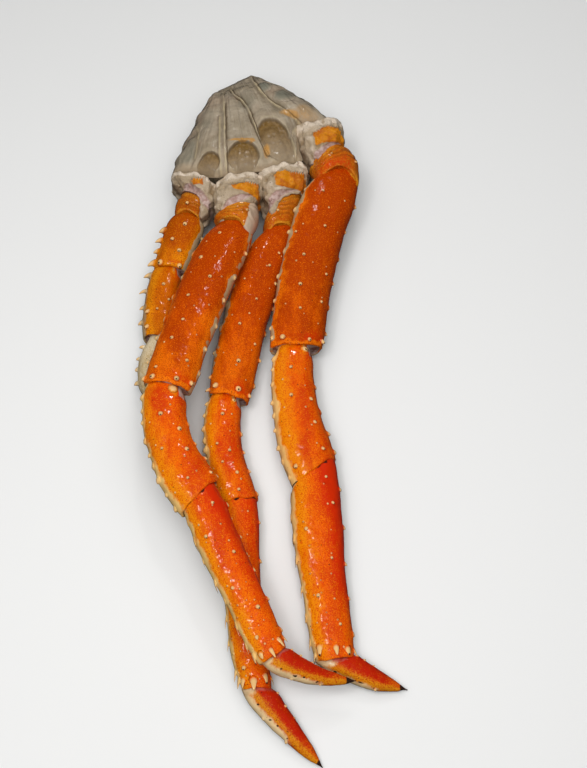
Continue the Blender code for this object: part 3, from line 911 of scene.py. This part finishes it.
def boiled_pattern():
    """The pattern of cooked shell, from its colours and its masks: clouds and fine streaks of deeper and
    lighter colour, red and pale areas with ragged edges, pale spine tips with a dark point, and a few
    dark specks. The dark mask also paints shade in black inside sockets and in joint creases, and the
    deep mask paints shade in fold troughs and down the meri's right sides."""
    tree = bpy.data.node_groups.new("boiled_shell", "ShaderNodeTree")
    for way, kind, names in (
        ("INPUT", "Color", SHELL_COLOURS),
        ("INPUT", "Float", [name.title() + " Mask" for name in SHELL_MASKS]),
        ("OUTPUT", "Color", ["Color"]),
        ("OUTPUT", "Float", ["Roughness", "Height"]),
    ):
        for name in names:
            tree.interface.new_socket(name, in_out=way, socket_type="NodeSocket" + kind)
    given, out = tree.nodes.new("NodeGroupInput").outputs, tree.nodes.new("NodeGroupOutput").inputs
    tip, skin, dark = (Wire(tree, given[name + " Mask"]) for name in ("Tip", "Skin", "Dark"))
    where = wire(tree, "TexCoord", "Object")
    along = wire(tree, "Mapping", "Vector", Vector=where, Scale=(1.0, 0.45, 1.0))
    cloud, middle, fine = along.noise(60, 4, 0.65), along.noise(260, 3, 0.6), along.noise(800, 2, 0.6)
    grain, ripple = where.noise(1400, 1), where.noise(200, 2, 0.35)
    stray = middle * 0.6 + (fine * 0.5 - 0.55)
    colour = layered(
        (cloud + given["Deep Mask"]).slope(0.42, 0.66).blend(given["Body"], given["Deep"]),
        ((cloud * -1.6 + 0.87 + given["Light Mask"] + stray).slope(0.10, 0.90), given["Light"]),
        (fine.slope(0.50, 0.72) * 0.6, given["Deep"]),
        (grain.slope(0.50, 0.70) * 0.9, given["Deep"]),
        ((1 - grain.slope(0.28, 0.46)) * 0.7, given["Light"]),
        ((grain * 0.9 - 0.45 + given["Red Mask"] + stray).slope(0.20, 1.05), given["Red"]),
        ((stray + given["Pale Mask"]).slope(0.35, 0.85), given["Pale"]),
        (where.specks(260, (0.07, 0.13), 130, (0.50, 0.55)), DARK_SPECK),
        (tip.slope(0.0, 0.55), given["Tip"]),
        (skin.slope(0.4, 0.7), middle.slope(0.35, 0.65).blend(SKIN, PALE_SKIN)),
        # Black for dark points and tips, and for painted shade inside sockets and in joint creases.
        (dark.slope(0.3, 0.7), BLACK_AND_SHADE),
    )
    feed(tree, out["Color"], colour)
    feed(tree, out["Roughness"], cloud * 0.14 + 0.04)
    feed(tree, out["Height"], ripple * 1.4 + grain * 0.04)
    return tree


def boiled_finish(name, *colours, gloss=0.5):
    """Wet cooked shell of these colours, in the order of SHELL_COLOURS."""
    made, tree, shader = finish_material(name, Specular_IOR_Level=gloss)
    pattern = add(tree, "Group", {"node_tree": boiled})
    for socket, colour in zip(SHELL_COLOURS, colours):
        feed(tree, pattern.inputs[socket], (*colour, 1))
    for attribute in SHELL_MASKS:
        feed(tree, pattern.inputs[attribute.title() + " Mask"], mask(tree, attribute))
    lay_finish(tree, shader, *(pattern.outputs[key] for key in ("Color", "Roughness", "Height")), 1.0, 0.0005)
    return made


def shell_piece(limb, kind, size, shares, rows, seed, finish, slot, paint, knobs=(), **shape):
    """One article as a finished piece: its skin, its spines and its masks of colour."""
    skin = article(limb, kind, size, shares, **shape)
    thorns = dressed(skin, rows, seed, knobs)
    stray = 0.09 * lumps(skin.points, 9.0, 8) + 0.06 * lumps(skin.points, 3.0, 9)
    place = skin.place + 25 * stray / skin.length
    masks = paint(limb, place, skin.side + stray, skin.top - stray)
    masks["skin"] = np.maximum(masks.get("skin", 0.0), skin.floor)
    inner = (skin.place == 1.0) * (skin.floor > 0) * (skin.shell > 0)
    masks["dark"] = np.maximum(masks.get("dark", 0.0), SOCKET_SHADE * inner)
    make_piece(f"{limb}_{kind}_shell", grids_of(skin, masks, thorns), finish, f"{limb}_{kind}")


def underside(top):
    """The pale lower side of a section, where its upward share is below about -0.3."""
    return 1 - rise(top, -0.5, -0.1)


def ischium_paint(limb, place, side, top):
    """Redder at the left of its end, lighter at both ends and pale beneath."""
    red = 0.35 * rise(place, 0.35, 0.9) * (1 - rise(side, 0.2, 0.8)) + 0.30 * (limb == "leg_3")
    light = 0.4 * (1 - rise(place, 0.0, 0.6)) + 0.6 * rise(place, 0.9, 0.98)
    flank = rise(side, 0.62, 0.78) if limb == "leg_1" else 0.0
    return {"red": red, "light": light, "pale": np.maximum(underside(top), flank)}


boiled = boiled_pattern()
ochre_shell = boiled_finish("ochre_shell", (0.64, 0.15, 0.004), (0.40, 0.085, 0.003), YELLOW, RED,
                            (0.56, 0.42, 0.30), CREAM)
for seed, (limb, size) in enumerate(ISCHIUM_SIZES.items()):
    skin = article(limb, "ischium", size, ISCHIUM_SHARES, pitch=0.5, tuck=5.0, recess=0.3)
    scoop(skin, *ISCHIUM_LOBES[limb])
    points, place = skin.points, skin.place
    # Folds across the shell, which wander and fade towards the end.
    wave = np.sin(2 * np.pi * (place * skin.length / FOLD_STEP + 0.8 * lumps(points, 8.0, seed)))
    fold = wave * (1 - rise(place, 0.6, 0.85)) * rise(skin.top, 0.0, 0.5)
    skin.relief = 0.35 * fold
    thorns = dressed(skin, (), 20 + seed, ISCHIUM_KNOBS[limb])
    stray = 0.07 * lumps(points, 9.0, 8) + 0.05 * lumps(points, 3.0, 9)
    masks = ischium_paint(limb, place + stray, skin.side + stray, skin.top - stray)
    # The fold troughs are painted deeper, as shade.
    masks["deep"] = 0.25 * rise(-fold, 0.0, 0.9)
    make_piece(limb + "_ischium_shell", grids_of(skin, masks, thorns), ochre_shell, limb + "_ischium")


# ----------------------------------------------------------
# The meri.
# The long third article, the biggest of the limb: a tube of orange shell that is pale beneath, with blunt
# spines along both edges and round its end, and knobs on top.

MERUS_SIZES = {"arm": (28, 25, 0), "leg_1": (37.5, 26, 3), "leg_2": (33.5, 26, 4.5), "leg_3": (42, 27, 5)}
MERUS_SHARES = ((0, 0.70), (0.05, 0.86), (0.13, 0.98), (0.35, 1.0), (0.7, 0.97), (0.93, 0.95), (1.0, 0.90))
MERUS_SPINES = (
    (0.04, 0.10, 0.90, 7, 1.5, 4.8, 0.4),
    (0.95, 0.17, 0.90, 6, 1.3, 4, 0.4),
    (0.30, 0.975, 0.975, 1, 2.2, 4.4, 0.6),
    (0.10, 0.97, 0.97, 1, 2.4, 4.4, 0.6),
    (0.62, 0.975, 0.975, 1, 2, 4, 0.6),
    (0.85, 0.97, 0.97, 1, 2.2, 4, 0.6),
    (0.5, 0.25, 0.85, 3, 0.5, 1.6, 0.3),
    (0.7, 0.20, 0.90, 5, 0.5, 1.6, 0.3),
    (0.3, 0.15, 0.80, 4, 0.5, 1.6, 0.3),
)
ARM_MERUS_SPINES = (
    (0.10, 0.35, 0.92, 4, 4.2, 5.5, 0.7),
    (0.97, 0.30, 0.90, 3, 1.4, 3.6, 0.4),
    (0.35, 0.96, 0.96, 1, 2.2, 4.2, 0.6),
    (0.65, 0.96, 0.96, 1, 2, 4, 0.6),
)
MERUS_KNOBS = {
    "arm": ((0.25, 0.52), (0.55, 0.42), (0.72, 0.58)),
    "leg_1": ((0.10, 0.45), (0.27, 0.36), (0.38, 0.56), (0.51, 0.42), (0.65, 0.47), (0.76, 0.41),
              (0.93, 0.33), (0.86, 0.66)),
    "leg_2": ((0.18, 0.62), (0.26, 0.55), (0.46, 0.54), (0.62, 0.44), (0.82, 0.52), (0.34, 0.75),
              (0.70, 0.70)),
    "leg_3": ((0.15, 0.42), (0.35, 0.53), (0.53, 0.40), (0.60, 0.70), (0.69, 0.43), (0.76, 0.70),
              (0.82, 0.47), (0.40, 0.22)),
}
# How far up the pale under side shows on the left and on the right, as shares of the half width.
MERUS_FLANKS = {"arm": (-1.2, 0.80), "leg_1": (-0.97, 0.975), "leg_2": (-0.95, 1.2), "leg_3": (-0.95, 1.2)}
# How deep each merus is at its start, the place by which that fades, and how light it is at its end.
MERUS_TONES = {
    "arm": (0.24, 0.8, 0.35),
    "leg_1": (0.24, 0.8, 0.42),
    "leg_2": (0.24, 0.8, 0.42),
    "leg_3": (0.42, 1.25, 0.10),
}
PALE_UNDER = (0.50, 0.35, 0.19)
orange_shell = boiled_finish("orange_shell", (0.64, 0.076, 0.0005), (0.44, 0.044, 0.0005),
                             (0.86, 0.18, 0.003), RED, PALE_UNDER, CREAM, gloss=0.2)
arm_shell = boiled_finish("arm_shell", (0.60, 0.12, 0.0005), (0.42, 0.065, 0.0005), (0.80, 0.26, 0.004), RED,
                          PALE_UNDER, CREAM, gloss=0.3)


def merus_paint(limb, place, side, top):
    """Deeper at its start, darker down its right as painted shade, lighter towards its end, with red ends
    and a pale rim.
    """
    left, right = MERUS_FLANKS[limb]
    red = 0.6 * rise(place, 0.86, 0.98) * (0.4 + 0.6 * rise(side, -0.4, 0.4))
    red += 0.3 * (1 - rise(place, 0.0, 0.10))
    start, fade, end = MERUS_TONES[limb]
    # Darker down the right side: a painted shade.
    deep = start * (1 - rise(place, 0.1, fade)) + 0.12 * rise(side, 0.5, 0.95)
    light = end * rise(place, 0.4, 0.95) + 0.35 * (1 - rise(side, -0.95, -0.7))
    flanks = 1 - rise(side, left - 0.04, left + 0.04) + rise(side, right - 0.04, right + 0.04)
    light = light + 0.5 * (rise(side, right - 0.25, right) + 1 - rise(side, left, left + 0.12))
    rim = rise(place, 0.985, 0.995)
    return {"red": red * (1 - 0.7 * rim), "deep": deep, "light": light + 0.6 * rim,
            "pale": np.maximum(np.maximum(underside(top), flanks), 0.3 * rim)}


for seed, (limb, size) in enumerate(MERUS_SIZES.items()):
    rows, finish = (ARM_MERUS_SPINES, arm_shell) if limb == "arm" else (MERUS_SPINES, orange_shell)
    shell_piece(limb, "merus", size, MERUS_SHARES, rows, 30 + seed, finish, "orange_shell", merus_paint,
                MERUS_KNOBS[limb], recess=0.4)


# ----------------------------------------------------------
# The carpi.
# The fourth article, which bends the limb down like a knee. A yellow lobe and a lilac skin close its joint
# with the merus on the right, and its left edge is cream.

CARPUS_SIZES = {"arm": (28, 26, 2), "leg_1": (34, 25, 8.5), "leg_2": (29, 25, 6.5), "leg_3": (36, 27, 6)}
CARPUS_SHARES = {
    "left": ((0, 0.80), (0.08, 0.92), (0.25, 0.96), (0.55, 0.97), (0.88, 1), (1, 0.95)),
    "right": ((0, 0.56), (0.08, 0.72), (0.25, 0.80), (0.55, 0.92), (0.88, 1), (1, 0.95)),
    "tall": ((0, 0.66), (0.08, 0.82), (0.25, 0.92), (0.55, 0.96), (0.88, 1), (1, 0.95)),
}
CARPUS_SPINES = (
    (0.04, 0.08, 0.95, 9, 1.2, 4.4, 0.6),
    (0.94, 0.35, 0.95, 4, 1.3, 4, 0.6),
    (0.62, 0.035, 0.035, 1, 1.2, 4.4, 0.8),
    (0.3, 0.3, 0.90, 4, 0.5, 1.6, 0.3),
    (0.6, 0.2, 0.85, 5, 0.5, 1.6, 0.3),
)
ARM_CARPUS_SPINES = (
    (0.06, 0.12, 0.80, 4, 4, 5, 0.7),
    (0.30, 0.70, 0.90, 2, 3, 4.5, 0.8),
    (0.95, 0.35, 0.90, 3, 1.4, 3.6, 0.4),
)
CARPUS_KNOBS = {
    "arm": ((0.30, 0.50), (0.50, 0.62), (0.66, 0.46)),
    "leg_1": ((0.27, 0.45), (0.42, 0.66), (0.55, 0.38), (0.62, 0.66), (0.86, 0.50), (0.93, 0.80)),
    "leg_2": ((0.20, 0.47), (0.48, 0.40), (0.55, 0.56), (0.66, 0.44), (0.78, 0.60), (0.93, 0.55)),
    "leg_3": ((0.20, 0.42), (0.42, 0.42), (0.46, 0.68), (0.66, 0.66), (0.90, 0.66), (0.92, 0.30)),
}
bright_shell = boiled_finish("bright_shell", (0.85, 0.115, 0.0005), (0.64, 0.042, 0.0005),
                             (0.88, 0.27, 0.003), RED, (0.92, 0.58, 0.20), CREAM)


def carpus_paint(limb, place, side, top):
    """Cream down its left and redder down its right and at its start, with the lobe and skin there."""
    light = 0.9 * (1 - rise(side, -0.95, 0.3 * place)) + 0.15 * rise(place, 0.75, 1.0)
    red = 0.40 * rise(side, 0.0, 0.6) * (1 - rise(side, 0.8, 1.0))
    red += 0.45 * (1 - rise(place, 0.05, 0.22)) * rise(side, -0.5, 0.1)
    lobe = 0.9 * bell(np.hypot((place - 0.03) / 0.07, (side - 0.42) / 0.22), 1.0)
    pale = np.maximum(underside(top), 0.9 * (1 - rise(side, -1.0, -0.78 + 0.25 * place)))
    return {"red": red * (1 - lobe), "light": light + lobe, "pale": np.maximum(pale, 0.6 * lobe),
            "skin": (1 - rise(place, 0.09, 0.14)) * rise(side, 0.62, 0.80) * rise(top, -0.2, 0.2)}


for seed, (limb, size) in enumerate(CARPUS_SIZES.items()):
    rows, finish = (ARM_CARPUS_SPINES, arm_shell) if limb == "arm" else (CARPUS_SPINES, bright_shell)
    shell_piece(limb, "carpus", size, CARPUS_SHARES, rows, 40 + seed, finish, "bright_shell", carpus_paint,
                CARPUS_KNOBS[limb], recess=0.6)


# ----------------------------------------------------------
# The propodi.
# The fifth article of each leg, long and slightly tapered, red where it leaves the carpus and down its
# right side, with a toothed cream edge on the left and a ring of long spines round its end.

PROPODUS_SIZES = {"leg_1": (29, 23, 1), "leg_2": (28, 23, 3.5), "leg_3": (35, 25, 2)}
PROPODUS_SHARES = ((0.0, 0.93), (0.12, 1.0), (0.35, 0.99), (0.65, 0.86), (0.92, 0.80), (1.0, 0.70))
PROPODUS_SPINES = (
    (0.02, 0.06, 0.90, 7, 1, 5, 5),
    (0.94, 0.15, 0.90, 5, 1, 3.8, 0.9),
    (0.28, 0.955, 0.955, 1, 1.5, 4.2, 3.2),
    (0.08, 0.96, 0.96, 1, 1.4, 4.2, 3.6),
    (0.50, 0.96, 0.96, 1, 1.6, 4.2, 3.2),
    (0.74, 0.96, 0.96, 1, 1.6, 4.2, 3.2),
    (0.93, 0.955, 0.955, 1, 1.4, 4, 3.4),
    (0.35, 0.15, 0.95, 7, 0.5, 1.6, 0.3),
    (0.62, 0.10, 0.95, 8, 0.5, 1.6, 0.3),
    (0.48, 0.60, 0.92, 5, 0.4, 1.5, 0.3),
    (0.20, 0.65, 0.92, 4, 0.4, 1.5, 0.3),
)
PROPODUS_KNOBS = {
    "leg_1": ((0.10, 0.62), (0.24, 0.36), (0.40, 0.62), (0.58, 0.40), (0.74, 0.60), (0.88, 0.40)),
    "leg_2": ((0.12, 0.40), (0.32, 0.60), (0.60, 0.42), (0.80, 0.60), (0.90, 0.36)),
    "leg_3": ((0.08, 0.64), (0.22, 0.70), (0.32, 0.36), (0.50, 0.62), (0.68, 0.40), (0.84, 0.62)),
}
# How red each propodus is round its start and on its right.
PROPODUS_REDS = {"leg_1": (0.5, 0.9), "leg_2": (0.4, 0.55), "leg_3": (0.65, 1.1)}


def propodus_paint(limb, place, side, top):
    """Red round its start and down its right, light to cream on its left, with a painted shade in the
    crease at the joint.
    """
    start = (1 - rise(place, 0.02, 0.36)) * rise(side, -1.0, 0.6)
    right = rise(side, -0.3, 1.0) * (1 - rise(place, 0.55, 1.0))
    light = 0.85 * (1 - rise(side, -0.9, 0.1))
    pale = np.maximum(underside(top), 0.9 * (1 - rise(side, -0.97, -0.66)))
    around_start, on_right = PROPODUS_REDS[limb]
    # The dark line at the joint is a painted shade in its crease.
    return {"red": around_start * start + on_right * right, "light": light, "pale": pale,
            "dark": 0.7 * (1 - rise(place, 0.004, 0.014))}


for seed, (limb, size) in enumerate(PROPODUS_SIZES.items()):
    shell_piece(limb, "propodus", size, PROPODUS_SHARES, PROPODUS_SPINES, 50 + seed, bright_shell,
                "bright_shell", propodus_paint, PROPODUS_KNOBS[limb])


# ----------------------------------------------------------
# The dactyls.
# The claw that ends each leg: a curved red cone with a cream foot and under side, olive near its black tip.

DACTYL_SIZES = {"leg_1": (16, 13, 4), "leg_2": (18, 14, 1), "leg_3": (17, 14, 2)}
# How far each claw's colours are turned to the left, as a share of its half width.
DACTYL_TURNS = {"leg_1": 0.10, "leg_2": 0.05, "leg_3": 0.30}
DACTYL_SHARES = ((0.0, 0.80), (0.10, 1.0), (0.3, 0.97), (0.6, 0.74), (0.85, 0.40), (1.0, 0.06))
# Dark spots on a dactyl's pale side, each place along and share sideways.
DACTYL_SPOTS = ((0.18, -0.50), (0.33, -0.62), (0.42, -0.50), (0.58, -0.62))
DACTYL_SPINES = ((0.85, 0.12, 0.45, 3, 0.8, 2.2, 0.4), (0.1, 0.3, 0.6, 2, 0.8, 2.2, 0.4))
claw_shell = boiled_finish("claw_shell", (0.72, 0.10, 0.002), (0.50, 0.035, 0.002), (0.70, 0.25, 0.006),
                           (0.50, 0.014, 0.001), (0.82, 0.58, 0.30), CREAM)


def dactyl_paint(limb, place, side, top):
    """Red on its right, cream at its foot and down its left, lighter between, with a black tip."""
    side = side + DACTYL_TURNS[limb]
    foot = 0.9 * (1 - rise(place, 0.05, 0.16)) * (1 - rise(side, -0.5, 0.5))
    below = (1 - rise(side, -0.85, -0.10)) * (1 - rise(place, 0.45, 0.85))
    beneath = underside(top) * (1 - rise(place, 0.5, 0.7))
    light = 0.9 * rise(place, 0.50, 0.95) * (1 - rise(side, -0.5, 0.7)) + 0.85 * bell(side + 0.30, 0.32)
    red = rise(side, -0.45, 0.40) * (1 - rise(place, 0.6, 1.0))
    spots = sum(bell(np.hypot((place - at) / 0.018, (side - off) / 0.10), 0.9) for at, off in DACTYL_SPOTS)
    return {"red": red, "light": light, "pale": np.maximum(np.maximum(foot, below), beneath),
            "skin": 0.5 * (1 - rise(place, 0.05, 0.15)), "dark": rise(place, 0.88, 0.94) + spots}


for seed, (limb, size) in enumerate(DACTYL_SIZES.items()):
    shell_piece(limb, "dactyl", size, DACTYL_SHARES, DACTYL_SPINES, 60 + seed, claw_shell, "claw_red",
                dactyl_paint, pitch=0.5, lip=0.0, recess=0.0)


# ----------------------------------------------------------
# The hand.
# The arm's claw: a palm that narrows to a fixed finger, with a movable finger beside it, of white shell
# with dark specks.

PALM_SIZE = (27, 24, 1.5)
PALM_SHARES = ((0.0, 0.66), (0.15, 0.92), (0.4, 1.0), (0.53, 0.86), (0.62, 0.52), (0.85, 0.34), (1.0, 0.08))
FINGER_ROOT = (-65.0, -14.0, 13.0, -35.0, 0.0)
FINGER_TIP = (-68.0, -50.0, 9.5, 0.0, 0.0)
FINGER_SIZE = (11, 13, -3)
FINGER_SHARES = ((0.0, 0.80), (0.25, 1.0), (0.6, 0.80), (0.88, 0.42), (1.0, 0.12))
PALM_SPINES, FINGER_SPINES = ((0.05, 0.1, 0.45, 4, 3.0, 4.5, 0.4),), ((0.5, 0.3, 0.3, 1, 1.0, 2.0, 0.3),)
white_claw = boiled_finish("white_claw", (0.80, 0.67, 0.45), (0.56, 0.38, 0.16), (0.88, 0.76, 0.56), RED,
                           (0.86, 0.73, 0.50), CREAM)


def hand_paint(limb, place, side, top):
    """White, and a little lighter on top as a painted light."""
    return {"pale": 0.5, "light": 0.2 * top}


shell_piece("arm", "palm", PALM_SIZE, PALM_SHARES, PALM_SPINES, 70, white_claw, "white_shell", hand_paint,
            pitch=0.5, lip=0.0, recess=0.0)
skin = loft(FINGER_ROOT, FINGER_TIP, FINGER_SIZE, FINGER_SHARES, pitch=0.5, tuck=2.0, lip=0.0, recess=0.0)
thorns = dressed(skin, FINGER_SPINES, 75)
masks = hand_paint("arm", skin.place, skin.side, skin.top)
make_piece("arm_finger_shell", grids_of(skin, masks, thorns), white_claw, "arm_finger")
